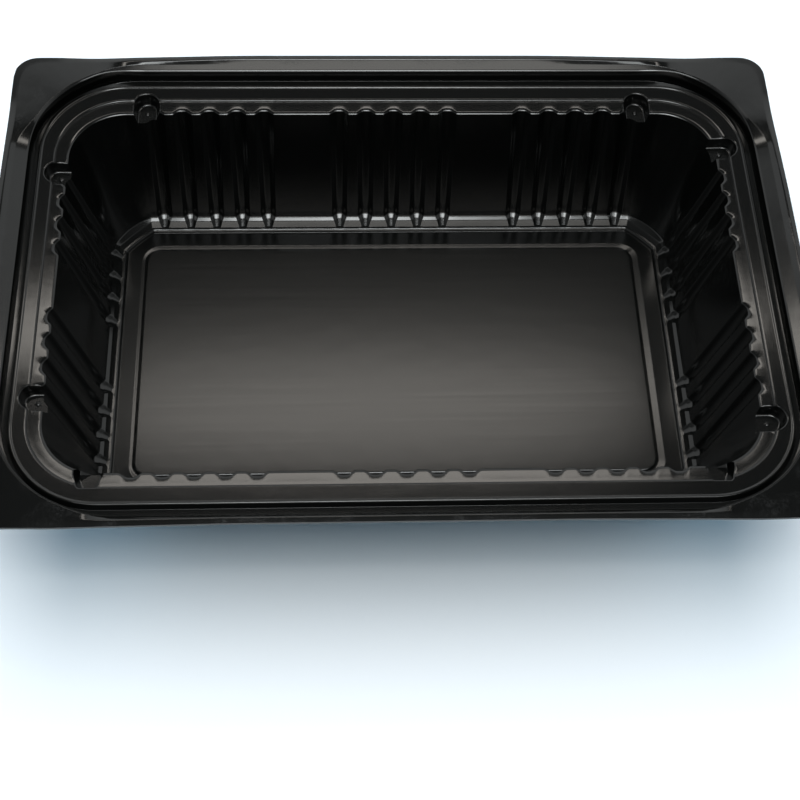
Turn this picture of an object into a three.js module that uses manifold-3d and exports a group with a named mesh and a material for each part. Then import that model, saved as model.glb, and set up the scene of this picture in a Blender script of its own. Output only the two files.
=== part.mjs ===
// Takeaway food tray, thermoformed in one piece from a black polypropylene sheet.
// Millimetres, +Z up. The origin is on the table, under the middle of the base.
// The long sides run along X and the ends along Y.
//
// The sheet is the space between two terrains, its upper face and its underside. Each terrain is a
// stack of closed lines, from the outer edge of the flange inwards to the middle of the base.

import * as THREE from "three";
import { mergeVertices } from "three/addons/utils/BufferGeometryUtils.js";
import Module from "manifold-3d";

const wasm = await Module();
wasm.setup();

// The whole tray, as wide as its flange. The corner tabs of the flange lie at TAB_HEIGHT.
const LENGTH = 228;
const WIDTH = 159;
const TAB_HEIGHT = 46.8;
const SHEET = 0.8;

// Flange: between its level corner tabs the edge climbs towards the middle of each side, and its
// outermost strip is folded down. A wave says how far it does both, at distances from the middle.
const TAB_CORNER = 7;
const FOLD_WIDTH = 1.6;
const FOLD_DROP = 0.4;
const EDGE_RISE = 1;
const MIDDLE_WAVE = { rise: 1, fold: 1 };
const END_WAVE = [
  { at: 24, rise: 1, fold: 1 },
  { at: 37, rise: 0.7, fold: 1 },
  { at: 48, rise: 0.2, fold: 1 },
  { at: 57, rise: 0, fold: 1 },
  { at: 67, rise: 0, fold: 0 },
];
const SIDE_WAVE = [
  { at: 40, rise: 1, fold: 1 },
  { at: 57, rise: 0.7, fold: 1 },
  { at: 74, rise: 0.2, fold: 1 },
  { at: 90, rise: 0, fold: 1 },
  { at: 103, rise: 0, fold: 0 },
];

// Bands of the section, from the flange inwards: how wide each is at the ends of the tray and along
// its long sides, and how far it falls.
const FLANGE = { ends: 4.7, sides: 2.1, fall: 1.9 };
const LIP = { ends: 0.6, sides: 0.6, fall: 0.45 };
const GROOVE_WALL = { ends: 0.7, sides: 1.06, fall: 2.55 };
const GROOVE_FLOOR = { ends: 0.65, sides: 0.99, fall: 0.35 };
const RIDGE_SLOPE = { ends: 1.15, sides: 1.75, fall: -1.06 };
const RIDGE_CREST = { ends: 0.5, sides: 0.5, fall: -0.19 };
const LEDGE = { ends: 3.7, sides: 4.8, fall: 0.45 };
const STEP_EDGE = { ends: 0.48, sides: 0.48, fall: 0.36 };
const STEP_FLOOR = { ends: 1.12, sides: 1.12, fall: 0.09 };
const SHELF = { ends: 2.1, sides: 2.8, fall: 0.25 };
const SHELF_EDGE = { ends: 0.45, sides: 0.45, fall: 0.45 };
const WALL = { ends: 9.1, sides: 9.5 };
const FOOT_UPPER = { ends: 0.8, sides: 0.8 };
const FOOT_LOWER = { ends: 1.2, sides: 1.2 };
const FOOT_LEDGE = { ends: 1.5, sides: 1.5 };
const BASE_STEP = { ends: 0.75, sides: 0.75 };
const BORDER = { ends: 6.5, sides: 6.5 };

// Heights above the upper face of the border, which lies on the table
const WALL_FOOT_HEIGHT = 4.6;
const FOOT_MIDDLE_HEIGHT = 2.2;
const FOOT_LEDGE_HEIGHT = 1.05;
const PANEL_HEIGHT = 0.6;

// Corners: round above, and cut off at the base
const LIP_CORNER = 25.5;
const WALL_FOOT_CORNER = 11.1;
const FOOT_CORNER = 10.1;
const BORDER_CORNER = 7.6;
const PANEL_CORNER = 5;
const WALL_FOOT_CHAMFER = 0.6;
const BASE_CHAMFER = 0.88;

// Flutes: upright hollows in the walls, in groups, which fade out in the foot
const FLUTE_PITCH = 8.22;
const FLUTE_DEPTH = 1.35;
const FLUTE_HALF_WIDTH = 3.05;
const FLUTE_FOOT_WIDTH = 0.85;
const FLUTE_FADE = { middle: 0.9, low: 0.25 };
const SIDE_FLUTES = 5;
const SIDE_GROUPS = [-55.5, 0, 55.5];
const END_FLUTES = 4;
const END_GROUPS = [-24.2, 24.2];
const FLUTE_SHAPE = [
  { at: -1, depth: 0 },
  { at: -0.6, depth: 0.62 },
  { at: -0.24, depth: 1 },
  { at: 0.24, depth: 1 },
  { at: 0.6, depth: 0.62 },
  { at: 1, depth: 0 },
];

// Pockets that keep stacked trays apart. They differ from side to side, so a turned tray won't nest.
const POCKET_DEPTH = 3;
const POCKET_DRAFT = 0.75;
const POCKET_WIDTH = 7.6;
const POCKET_REACH = 4.2;
const TAPERED_POCKET = { shoulder: 5.2, back: 3.8, shoulderAt: 0.6, depth: 1.6 };
const FAR_POCKET_X = 74.35;
const NEAR_POCKET_X = 82.8;
const LEFT_POCKET_Y = 38.5;
const RIGHT_POCKET_Y = 47.2;

// How finely the lines are divided
const CORNER_STEPS = 10;
const TAB_STEPS = 5;
const POCKET_STEPS = 8;
const RIM_DIVISIONS = { ends: [24], sides: [30, 60] };
const MERGE_DISTANCE = 1e-4;
const ANGLE_NOISE = 1e-9;

// Terrains end in a flat bottom well below the base. The lower one reaches past the upper one.
const UPPER_TERRAIN_BOTTOM = -15;
const LOWER_TERRAIN_BOTTOM = -20;
const LOWER_TERRAIN_OVERHANG = 3;
const LONGEST_MITRE = 1.67;
const CUT_TOP = 60;

// A line is a rounded rectangle: half sizes, height and corner, with a chamfer of 0 for a true arc and
// 1 for a straight cut. Flute, wave and fold say how far the line takes part in each.
function inside(line, band, changes = {}) {
  return {
    ...line,
    x: line.x - band.ends,
    y: line.y - band.sides,
    z: line.z - (band.fall ?? 0),
    corner: line.corner - (band.ends + band.sides) / 2,
    ...changes,
  };
}

function rimLines() {
  const edge = {
    x: LENGTH / 2,
    y: WIDTH / 2,
    z: TAB_HEIGHT,
    corner: TAB_CORNER,
    chamfer: 0,
    flute: 0,
    fluteWidth: 1,
    wave: 1,
    fold: 1,
    grid: "tab",
  };
  const crease = inside(edge, { ends: FOLD_WIDTH, sides: FOLD_WIDTH }, { corner: TAB_CORNER, fold: 0 });
  const lip = inside(crease, FLANGE, { corner: LIP_CORNER, wave: 0, grid: "rim" });
  const lipInner = inside(lip, LIP);
  const grooveOuter = inside(lipInner, GROOVE_WALL);
  const groove = inside(grooveOuter, GROOVE_FLOOR);
  const ridge = inside(groove, RIDGE_SLOPE);
  const ridgeInner = inside(ridge, RIDGE_CREST);
  const ledge = inside(ridgeInner, LEDGE);
  return { edge, crease, lip, lipInner, grooveOuter, groove, ridge, ridgeInner, ledge };
}

function wallLines(ledge) {
  const stepTop = inside(ledge, STEP_EDGE);
  const stepFoot = inside(stepTop, STEP_FLOOR, { grid: "pitch" });
  const shelf = inside(stepFoot, SHELF, { flute: 1, grid: "fluted" });
  const shelfEdge = inside(shelf, SHELF_EDGE);
  const wallFoot = inside(shelfEdge, WALL, {
    z: SHEET + WALL_FOOT_HEIGHT,
    corner: WALL_FOOT_CORNER,
    chamfer: WALL_FOOT_CHAMFER,
    fluteWidth: FLUTE_FOOT_WIDTH,
  });
  return { stepTop, stepFoot, shelf, shelfEdge, wallFoot };
}

function baseLines(wallFoot) {
  const footMiddle = inside(wallFoot, FOOT_UPPER, {
    z: SHEET + FOOT_MIDDLE_HEIGHT,
    corner: FOOT_CORNER,
    chamfer: BASE_CHAMFER,
    flute: FLUTE_FADE.middle,
  });
  const ledgeHeight = SHEET + FOOT_LEDGE_HEIGHT;
  const footLow = inside(footMiddle, FOOT_LOWER, { z: ledgeHeight, flute: FLUTE_FADE.low });
  const footLedge = inside(footLow, FOOT_LEDGE, { flute: 0, grid: "pitch" });
  const border = inside(footLedge, BASE_STEP, { z: SHEET, corner: BORDER_CORNER, grid: "base" });
  const panelFoot = inside(border, BORDER, { corner: PANEL_CORNER, chamfer: 0 });
  const panel = inside(panelFoot, BASE_STEP, { z: SHEET + PANEL_HEIGHT });
  return { footMiddle, footLow, footLedge, border, panelFoot, panel };
}

// The same lines one sheet thickness lower, each moved square to the section it turns.
function underside(lines) {
  const moved = lines.map((line, index) => {
    const before = lines[Math.max(index - 1, 0)];
    const after = lines[Math.min(index + 1, lines.length - 1)];
    const arriving = sectionNormal(before, line);
    const leaving = sectionNormal(line, after);
    const normal = arriving.clone().add(leaving).normalize();
    const stretch = SHEET * Math.min(1 / normal.dot(leaving.lengthSq() ? leaving : arriving), LONGEST_MITRE);
    return {
      ...line,
      x: line.x + normal.x * stretch,
      y: line.y + normal.x * stretch,
      z: line.z - normal.y * stretch,
      corner: line.corner + normal.x * stretch,
    };
  });
  const overhang = { ends: -LOWER_TERRAIN_OVERHANG, sides: -LOWER_TERRAIN_OVERHANG };
  return [inside(moved[0], overhang, { corner: TAB_CORNER }), ...moved];
}

// Normal of the section between two lines, in the plane of outwards and downwards.
function sectionNormal(outer, inner) {
  const run = (outer.x - inner.x + outer.y - inner.y) / 2;
  const fall = outer.z - inner.z;
  return new THREE.Vector2(fall, run).normalize();
}

// Stations say where along a line its points stand. They run counterclockwise from the middle of the
// +X end: side 0 is the +X end, 1 the +Y side, 2 the -X end and 3 the -Y side.
function sideStations(side, places) {
  const rising = side === 0 || side === 3;
  const ordered = [...places].sort((p, q) => (rising ? p.at - q.at : q.at - p.at));
  return ordered.map((place) => ({ side, ...place }));
}

function cornerStations(corner, steps) {
  const stations = [];
  for (let step = 0; step <= steps; step++) {
    stations.push({ corner, turn: step / steps });
  }
  return stations;
}

function loopStations(endPlaces, sidePlaces, cornerSteps, middle = {}) {
  return [
    ...sideStations(0, [place(0, middle), ...endPlaces.filter((p) => p.at > 0)]),
    ...cornerStations(0, cornerSteps),
    ...sideStations(1, sidePlaces),
    ...cornerStations(1, cornerSteps),
    ...sideStations(2, endPlaces),
    ...cornerStations(2, cornerSteps),
    ...sideStations(3, sidePlaces),
    ...cornerStations(3, cornerSteps),
    ...sideStations(0, endPlaces.filter((p) => p.at < 0)),
  ];
}

// A place on a side: its distance from the middle, and what the line does there.
function place(at, shape = {}) {
  return { at, offset: 0, depth: 0, rise: 0, fold: 0, ...shape };
}

function mirroredPlaces(distances) {
  return distances.flatMap((distance) => [place(-distance), place(distance)]);
}

function wavePlaces(wave) {
  return wave.flatMap(({ at, ...shape }) => [place(-at, shape), place(at, shape)]);
}

function fluteCentres(groups, count) {
  return groups.flatMap((middle) =>
    Array.from({ length: count }, (_, index) => middle + (index - (count - 1) / 2) * FLUTE_PITCH),
  );
}

function flutePlaces(centres) {
  return centres.flatMap((centre) =>
    FLUTE_SHAPE.map(({ at, depth }) => {
      const offset = at * FLUTE_HALF_WIDTH;
      return place(centre + offset, { offset, depth });
    }),
  );
}

const END_CENTRES = fluteCentres(END_GROUPS, END_FLUTES);
const SIDE_CENTRES = fluteCentres(SIDE_GROUPS, SIDE_FLUTES);

const GRIDS = {
  tab: loopStations(wavePlaces(END_WAVE), wavePlaces(SIDE_WAVE), TAB_STEPS, MIDDLE_WAVE),
  rim: loopStations(mirroredPlaces(RIM_DIVISIONS.ends), mirroredPlaces(RIM_DIVISIONS.sides), CORNER_STEPS),
  pitch: loopStations(END_CENTRES.map((at) => place(at)), SIDE_CENTRES.map((at) => place(at)), CORNER_STEPS),
  fluted: loopStations(flutePlaces(END_CENTRES), flutePlaces(SIDE_CENTRES), CORNER_STEPS),
  base: loopStations([], [], CORNER_STEPS),
};

function linePoint(line, station) {
  if (station.corner !== undefined) return cornerPoint(line, station);
  const along = station.at - station.offset * (1 - line.fluteWidth);
  const outwards = station.depth * line.flute * FLUTE_DEPTH;
  const z = line.z + line.wave * station.rise * EDGE_RISE - line.fold * station.fold * FOLD_DROP;
  if (station.side === 0) return new THREE.Vector3(line.x + outwards, along, z);
  if (station.side === 1) return new THREE.Vector3(along, line.y + outwards, z);
  if (station.side === 2) return new THREE.Vector3(-line.x - outwards, along, z);
  return new THREE.Vector3(along, -line.y - outwards, z);
}

function cornerPoint(line, { corner, turn }) {
  const angle = (turn * Math.PI) / 2;
  const arc = new THREE.Vector2(Math.cos(angle), Math.sin(angle));
  const cut = new THREE.Vector2(1 - turn, turn);
  const bend = arc.lerp(cut, line.chamfer).multiplyScalar(line.corner);
  const quarter = corner * (Math.PI / 2);
  const lengthwise = corner % 2 === 0;
  const first = (lengthwise ? line.x : line.y) - line.corner + bend.x;
  const second = (lengthwise ? line.y : line.x) - line.corner + bend.y;
  return new THREE.Vector3(first, second, line.z).applyAxisAngle(new THREE.Vector3(0, 0, 1), quarter);
}

function loop(line) {
  return GRIDS[line.grid].map((station) => linePoint(line, station));
}

// Triangles collect here as loose corners, and the closed mesh is merged from them at the end.
class Shell {
  corners = [];

  triangle(a, b, c) {
    this.corners.push(...a.toArray(), ...b.toArray(), ...c.toArray());
  }

  // Between two counterclockwise loops, seen from the side that faces out.
  strip(outer, inner) {
    outer.forEach((point, index) => {
      const next = (index + 1) % outer.length;
      this.triangle(point, outer[next], inner[next]);
      this.triangle(point, inner[next], inner[index]);
    });
  }

  // Between two loops with different stations, matched by the angle round the middle.
  zip(outer, inner) {
    const turns = [outer, inner].map((ring) => ring.map((p) => angleRound(p)).concat(2 * Math.PI));
    let i = 0;
    let j = 0;
    while (i < outer.length || j < inner.length) {
      const a = outer[i % outer.length];
      const b = inner[j % inner.length];
      if (i < outer.length && (j === inner.length || turns[0][i + 1] <= turns[1][j + 1])) {
        this.triangle(a, outer[(i + 1) % outer.length], b);
        i += 1;
      } else {
        this.triangle(a, inner[(j + 1) % inner.length], b);
        j += 1;
      }
    }
  }

  cap(ring, upwards) {
    const middle = new THREE.Vector3(0, 0, ring[0].z);
    ring.forEach((point, index) => {
      const next = ring[(index + 1) % ring.length];
      if (upwards) this.triangle(point, next, middle);
      else this.triangle(next, point, middle);
    });
  }

  solid() {
    const geometry = new THREE.BufferGeometry();
    geometry.setAttribute("position", new THREE.Float32BufferAttribute(this.corners, 3));
    const merged = mergeVertices(geometry, MERGE_DISTANCE);
    return new wasm.Manifold(
      new wasm.Mesh({
        numProp: 3,
        vertProperties: merged.attributes.position.array,
        triVerts: new Uint32Array(merged.index.array),
      }),
    );
  }
}

function angleRound(point) {
  const angle = Math.atan2(point.y, point.x);
  return angle < -ANGLE_NOISE ? angle + 2 * Math.PI : Math.max(angle, 0);
}

function flattened(ring, z) {
  return ring.map((point) => new THREE.Vector3(point.x, point.y, z));
}

// A solid under a stack of lines, from its outer skirt to the middle of the base.
function terrain(lines, bottom) {
  const shell = new Shell();
  const rings = lines.map(loop);
  rings.slice(1).forEach((inner, index) => {
    const sameGrid = lines[index].grid === lines[index + 1].grid;
    if (sameGrid) shell.strip(rings[index], inner);
    else shell.zip(rings[index], inner);
  });
  shell.cap(rings.at(-1), true);
  const skirt = flattened(rings[0], bottom);
  shell.strip(skirt, rings[0]);
  shell.cap(skirt, false);
  return shell.solid();
}

// Outline of a pocket seen from above, with its back at +Y and its open front at -Y.
function roundPocketOutline(grow) {
  const half = POCKET_WIDTH / 2 + grow;
  const points = [new THREE.Vector3(-half, -POCKET_REACH, 0), new THREE.Vector3(half, -POCKET_REACH, 0)];
  for (let step = 0; step <= POCKET_STEPS; step++) {
    const angle = (step / POCKET_STEPS) * Math.PI;
    points.push(new THREE.Vector3(half * Math.cos(angle), half * Math.sin(angle), 0));
  }
  return points;
}

function taperedPocketOutline(grow) {
  const front = POCKET_WIDTH / 2 + grow;
  const shoulder = TAPERED_POCKET.shoulder / 2 + grow;
  const back = TAPERED_POCKET.back / 2 + grow;
  const depth = TAPERED_POCKET.depth + grow;
  const shoulderDepth = depth * TAPERED_POCKET.shoulderAt;
  return [
    new THREE.Vector3(-front, -POCKET_REACH, 0),
    new THREE.Vector3(front, -POCKET_REACH, 0),
    new THREE.Vector3(front, -SHELF.sides, 0),
    new THREE.Vector3(shoulder, shoulderDepth, 0),
    new THREE.Vector3(back, depth, 0),
    new THREE.Vector3(-back, depth, 0),
    new THREE.Vector3(-shoulder, shoulderDepth, 0),
    new THREE.Vector3(-front, -SHELF.sides, 0),
  ];
}

// A pocket's cut: narrow at its floor, wider at its rim, and upright from there to above the tray.
function pocketCut(outline, floor, grow, position) {
  const levels = [
    flattened(outline(grow - POCKET_DRAFT), floor),
    flattened(outline(grow), floor + POCKET_DEPTH),
    flattened(outline(grow), CUT_TOP),
  ];
  const [low, rim, high] = levels.map((ring) => ring.map((point) => point.applyMatrix4(position)));
  const shell = new Shell();
  shell.strip(low, rim);
  shell.strip(rim, high);
  capPolygon(shell, high, true);
  capPolygon(shell, low, false);
  return shell.solid();
}

function capPolygon(shell, ring, upwards) {
  for (let index = 1; index < ring.length - 1; index++) {
    if (upwards) shell.triangle(ring[0], ring[index], ring[index + 1]);
    else shell.triangle(ring[0], ring[index + 1], ring[index]);
  }
}

function pockets(stepFoot) {
  const turned = (x, y, quarterTurns) => {
    const turn = new THREE.Matrix4().makeRotationZ(quarterTurns * (Math.PI / 2));
    return turn.setPosition(x, y, 0);
  };
  return [-1, 1].flatMap((end) => [
    { outline: roundPocketOutline, position: turned(end * FAR_POCKET_X, stepFoot.y, 0) },
    { outline: roundPocketOutline, position: turned(-stepFoot.x, end * LEFT_POCKET_Y, 1) },
    { outline: roundPocketOutline, position: turned(stepFoot.x, end * RIGHT_POCKET_Y, 3) },
    { outline: taperedPocketOutline, position: turned(end * NEAR_POCKET_X, -stepFoot.y, 2) },
  ]);
}

function traySolid() {
  const rim = rimLines();
  const wall = wallLines(rim.ledge);
  const base = baseLines(wall.wallFoot);
  const { edge, crease, lip, grooveOuter, groove, ridgeInner } = rim;
  const { stepFoot, shelf, wallFoot } = wall;
  const upper = [rim, wall, base].flatMap((part) => Object.values(part));
  const lower = [edge, crease, lip, grooveOuter, groove, ridgeInner, stepFoot, shelf, wallFoot];
  let top = terrain(upper, UPPER_TERRAIN_BOTTOM);
  let bottom = terrain(underside([...lower, ...Object.values(base)]), LOWER_TERRAIN_BOTTOM);
  const floor = shelf.z - POCKET_DEPTH;
  for (const { outline, position } of pockets(stepFoot)) {
    top = top.subtract(pocketCut(outline, floor, 0, position));
    bottom = bottom.subtract(pocketCut(outline, floor - SHEET, SHEET, position));
  }
  return top.subtract(bottom);
}

function meshGeometry(solid) {
  const { vertProperties, triVerts } = solid.getMesh();
  const geometry = new THREE.BufferGeometry();
  geometry.setAttribute("position", new THREE.BufferAttribute(vertProperties, 3));
  geometry.setIndex(new THREE.BufferAttribute(triVerts, 1));
  geometry.computeVertexNormals();
  return geometry;
}

const blackPolypropylene = new THREE.MeshStandardMaterial({
  color: 0x141414,
  roughness: 0.28,
  metalness: 0,
  flatShading: true,
});

const tray = new THREE.Mesh(meshGeometry(traySolid()), blackPolypropylene);
tray.name = "tray";

const container = new THREE.Group();
container.add(tray);

export default container;
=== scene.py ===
"""Takeaway food tray: a tray formed in one piece from black plastic sheet, on a pale floor.

Lengths in the tables are millimetres, with +Z up and the origin on the table under the tray's
middle. The long sides run along X. Everything is turned into metres as it is put in a mesh.
"""

import math

import bmesh
import bpy
import numpy as np
from bpy.props import FloatProperty, FloatVectorProperty, PointerProperty
from mathutils import Euler, Matrix, Vector


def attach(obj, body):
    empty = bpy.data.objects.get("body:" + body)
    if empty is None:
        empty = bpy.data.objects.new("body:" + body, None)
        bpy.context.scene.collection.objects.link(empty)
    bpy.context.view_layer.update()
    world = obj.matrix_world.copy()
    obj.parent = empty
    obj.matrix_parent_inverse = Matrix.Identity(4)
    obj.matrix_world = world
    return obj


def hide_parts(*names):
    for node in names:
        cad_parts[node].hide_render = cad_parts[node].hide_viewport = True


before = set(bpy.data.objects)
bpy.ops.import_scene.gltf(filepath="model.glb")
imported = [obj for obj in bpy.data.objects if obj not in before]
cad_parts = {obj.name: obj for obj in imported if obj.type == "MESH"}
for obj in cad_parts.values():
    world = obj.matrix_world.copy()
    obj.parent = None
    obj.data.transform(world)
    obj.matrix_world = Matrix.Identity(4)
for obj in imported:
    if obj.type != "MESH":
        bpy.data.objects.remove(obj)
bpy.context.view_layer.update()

bl_info = {
    "name": "Takeaway food tray",
    "version": (1, 0, 0),
    "blender": (4, 5, 0),
    "location": "View3D > Sidebar > Food Tray",
    "description": "Builds a black thermoformed food tray and the studio it stands in",
    "category": "Object",
}

MM = 0.001
TINY = 1e-9
QUARTER = math.pi / 2
BODY = "root"

# Closed lines of the upper face, from the flange's edge to the middle of the base. Each is a
# rounded rectangle: name, half length, half width, height, corner radius, then the width and the
# number of segments of the rounding along it.
UPPER_LINES = (
    ("edge", 114.0, 79.5, 46.8, 7.0, 0.16, 2),
    ("crease", 112.4, 77.9, 46.8, 7.0, 0.5, 3),
    ("brow", 111.0, 76.9, 46.25, 32.0, 0.1, 2),
    ("lip", 107.75, 75.85, 44.93, 32.0, 0.16, 3),
    ("lip_inner", 107.4, 75.5, 44.71, 31.65, 0.18, 3),
    ("groove_outer", 106.65, 74.5, 41.5, 29.5, 0.07, 1),
    ("groove", 105.3, 72.3, 41.45, 25.5, 0.06, 1),
    ("ridge_side", 104.95, 71.75, 42.35, 25.1, 0.0, 0),
    ("ridge", 104.55, 71.35, 43.2, 24.7, 0.0, 0),
    ("ridge_inner", 103.72, 70.52, 42.64, 23.87, 0.12, 2),
    ("ledge", 100.5, 66.2, 42.46, 21.1, 0.3, 4),
    ("step_top", 100.1, 65.8, 42.18, 20.7, 0.12, 2),
    ("step_side", 99.97, 65.67, 41.82, 20.57, 0.05, 1),
    ("step_foot", 98.8, 64.5, 41.76, 19.4, 0.0, 0),
    ("shelf", 96.75, 61.75, 41.57, 16.7, 0.45, 4),
    ("shelf_edge", 96.25, 61.25, 41.2, 16.2, 0.31, 3),
    ("wall_top", 95.52, 60.49, 38.34, 15.8, 0.0, 0),
    ("wall_middle", 92.16, 56.98, 25.08, 14.6, 0.0, 0),
    ("wall_low", 89.7, 54.41, 15.42, 13.4, 0.0, 0),
    ("wall_foot", 86.85, 51.45, 4.3, 10.8, 0.35, 3),
    ("foot_step", 85.6, 50.2, 3.46, 9.6, 0.2, 2),
    ("foot_low", 84.45, 49.05, 1.9, 8.7, 0.25, 2),
    ("foot_ledge", 83.5, 48.1, 1.85, 8.2, 0.0, 0),
    ("border", 83.05, 47.65, 0.8, 7.85, 0.12, 2),
    ("border_inner", 78.4, 42.4, 1.06, 5.6, 0.2, 2),
    ("panel_foot", 77.0, 41.0, 0.8, 5.0, 0.25, 2),
    ("panel", 76.25, 40.25, 1.4, 4.25, 0.28, 3),
    ("panel_inner", 72.0, 36.6, 1.4, 3.0, 0.0, 0),
    ("panel_middle", 36.0, 10.0, 1.4, 1.0, 0.0, 0),
)

# Lines that the section doesn't reach: it bends past them in a curve, which takes these shares of
# the bands before and after, in this many steps
BENDS = {"ridge": (0.95, 0.72, 8), "foot_ledge": (0.7, 0.75, 6)}

# The panel stands a little nearer to the -X end
SHIFT = {"panel_foot": -0.6, "panel": -0.6}

# How far a line shares in the corner cuts (1 is a straight cut)
CHAMFER = {
    "wall_middle": 0.04,
    "wall_low": 0.2,
    "wall_foot": 0.6,
    "foot_step": 0.88,
    "foot_low": 0.88,
    "foot_ledge": 0.88,
    "border": 0.88,
}

# How deep the flutes are along a line, and how wide, as shares of their depth and width at the top
FLUTE_SHARE = {
    "shelf": 1.0,
    "shelf_edge": 1.0,
    "wall_top": 1.0,
    "wall_middle": 1.0,
    "wall_low": 1.0,
    "wall_foot": 1.0,
    "foot_step": 0.95,
    "foot_low": 0.3,
}
FLUTE_WIDTH = {
    "wall_middle": 0.93,
    "wall_low": 0.89,
    "wall_foot": 0.82,
    "foot_step": 0.62,
    "foot_low": 0.42,
}

# The flange's lines, and how far they share in the climb of its edge and the fold of its strip
TAB_LINES = {"edge", "crease"}
FLANGE_LINES = TAB_LINES | {"brow"}
WAVE_SHARE = {"edge": 1.0, "crease": 1.0, "brow": 0.13}
FOLD_SHARE = {"edge": 1.0}

# How much higher these lines are in the corners, the turn that they take to get there, and how
# near the brow then comes to the lip
CORNER_RISE = {"edge": -0.3, "crease": -0.3, "brow": 0.58, "lip": 1.5, "lip_inner": 1.5}
CORNER_EASE = math.radians(25.0)
BROW_GAP = 0.3

# The underside follows these lines, one sheet thickness away
UNDER_LINES = (
    "edge", "crease", "brow", "lip", "groove_outer", "groove", "ridge_inner", "step_foot", "shelf",
    "wall_middle", "wall_low", "wall_foot", "foot_low", "border",
    "panel_foot", "panel", "panel_inner", "panel_middle",
)
UNDER_ROUNDING = 0.25
UNDER_SEGMENTS = 2
LONGEST_MITRE = 1.67

# Centre of the lip's rounded corner at +X, +Y
LIP_CENTRE = (75.75, 43.85)

# How far from the middle of a side the flange's edge begins to sink, and where it is down at the
# tabs, on the ends and the long sides. The same for its folded outer strip.
END_WAVE = (24.0, 57.0)
SIDE_WAVE = (40.0, 90.0)
END_FOLD = (57.0, 67.0)
SIDE_FOLD = (90.0, 103.0)

# Flutes, in groups along the sides and ends, with the places of points across one, from -1 to 1.
# The middle of a flute is flat for the share FLUTE_FLAT. Plain wall has a point at each PLAIN_STEP
# or sooner, and END_MARGIN is left between the last point of a side and the corner.
FLUTE_PITCH = 8.22
FLUTE_HALF_WIDTH = 3.05
FLUTE_FLAT = 0.18
FLUTE_SHARPNESS = 1.4
FLUTE_PLACES = (-1.0, -0.86, -0.66, -0.44, -0.2, 0.2, 0.44, 0.66, 0.86, 1.0)
SIDE_GROUPS = (-55.5, 0.0, 55.5)
SIDE_FLUTES = 5
END_GROUPS = (-24.2, 24.2)
END_FLUTES = 4
PLAIN_STEP = 4.0
END_MARGIN = 0.3

# Degrees round a corner, and the number of points between one and the next
CORNER_TURNS = (0.0, 34.0, 50.5, 90.0)
CORNER_PARTS = (10, 12, 12)

# Brightness of the room at heights above the horizon, as the sine of the elevation: behind the
# tray and at its sides, and on the camera's side. ROOM_BLUE tints what falls on matte surfaces.
ROOM_BACK = ((0.0, 0.8), (0.45, 0.9), (0.685, 0.92), (0.73, 0.1), (0.82, 0.1), (1.0, 0.2))
ROOM_FRONT = ((0.0, 0.2), (0.5, 0.25), (1.0, 0.2))
FRONT_BLEND = (0.05, -0.4)
ROOM_TINT = (0.97, 1.0, 1.0)
ROOM_BLUE = (0.64, 1.06, 1.42)

# Lights of the studio, in metres. Those that are aimed point at the tray, and the others straight
# down. Some don't light matte surfaces, and one isn't mirrored in glossy ones.
LIGHT_TARGET = (0.0, 0.0, 0.04)
LIGHTS = (
    {"name": "back_softbox", "power": "back", "place": (0.0, 0.252, 0.45), "size": (0.38, 0.068),
     "colour": (1.0, 0.95, 0.88), "shape": "ELLIPSE", "aimed": False},
    {"name": "front_softbox", "power": "front", "place": (0.02, -1.1, 0.585), "size": (1.7, 0.26),
     "colour": (1.0, 0.98, 0.93), "shape": "ELLIPSE", "aimed": True, "hidden_from": "diffuse"},
    {"name": "front_core", "power": "front_core", "place": (0.02, -1.1, 0.585), "size": (0.6, 0.26),
     "colour": (1.0, 0.98, 0.93), "shape": "ELLIPSE", "aimed": True, "hidden_from": "diffuse"},
    {"name": "key_softbox", "power": "key", "place": (0.0, -0.41, 1.0), "size": (0.4, 0.36),
     "colour": (0.96, 1.0, 1.0), "shape": "ELLIPSE", "aimed": True},
    {"name": "key_wings", "power": "key_wings", "place": (0.04, -0.41, 1.0), "size": (1.1, 0.36),
     "colour": (0.96, 1.0, 1.0), "shape": "ELLIPSE", "aimed": True, "hidden_from": "diffuse"},
    {"name": "floor_wash", "power": "wash", "place": (0.0, 0.25, 1.1), "size": (1.2, 1.2),
     "colour": (1.0, 1.0, 1.0), "shape": "RECTANGLE", "aimed": False, "hidden_from": "glossy"},
)
FLOOR_SIZE = 4.0
FLOOR_ROUGHNESS = 0.45

# The camera, in metres, degrees and, for its lens and sensor, millimetres
CAMERA_PLACE = (-0.019489, -0.257505, 0.398765)
CAMERA_TURN = (31.35838, -1.84765, -1.78756)
CAMERA_LENS = 70.048
CAMERA_SENSOR = 36.0
CAMERA_CLIP = (0.01, 20.0)

# The solids under the upper and the lower face reach down to a skirt, which is cut off again, and
# the cutters of the pockets reach well above them
SKIRT_BOTTOM = -15.0
SKIRT_CUT = -5.0
CUT_TOP = 60.0

# Stacking pockets, cut in the shelf from the step's foot inwards. The underside's cutters are
# wider by one sheet, and lose this much of the rounding at their floor.
POCKET_WIDTH = 7.6
POCKET_REACH = 4.2
POCKET_SIDE_STEPS = (-1.2, -2.4, -3.4)
POCKET_ARC_POINTS = 25
POCKET_DRAFT = 0.75
POCKET_FLOOR_ROUNDING = 0.6
POCKET_FLOOR_SLOPE = 0.04
POCKET_ROUNDING_LOSS = 0.3
POCKET_RIM_CLEARANCE = 1.05
ROUNDING_STEPS = 3
TAPER_START = -2.8
TAPERED_POCKET = {"shoulder": 5.2, "back": 3.8, "shoulder_at": 0.6, "depth": 1.6}
FAR_POCKET_X = 74.35
NEAR_POCKET_X = 82.8
LEFT_POCKET_Y = 38.5
RIGHT_POCKET_Y = 47.2

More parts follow.
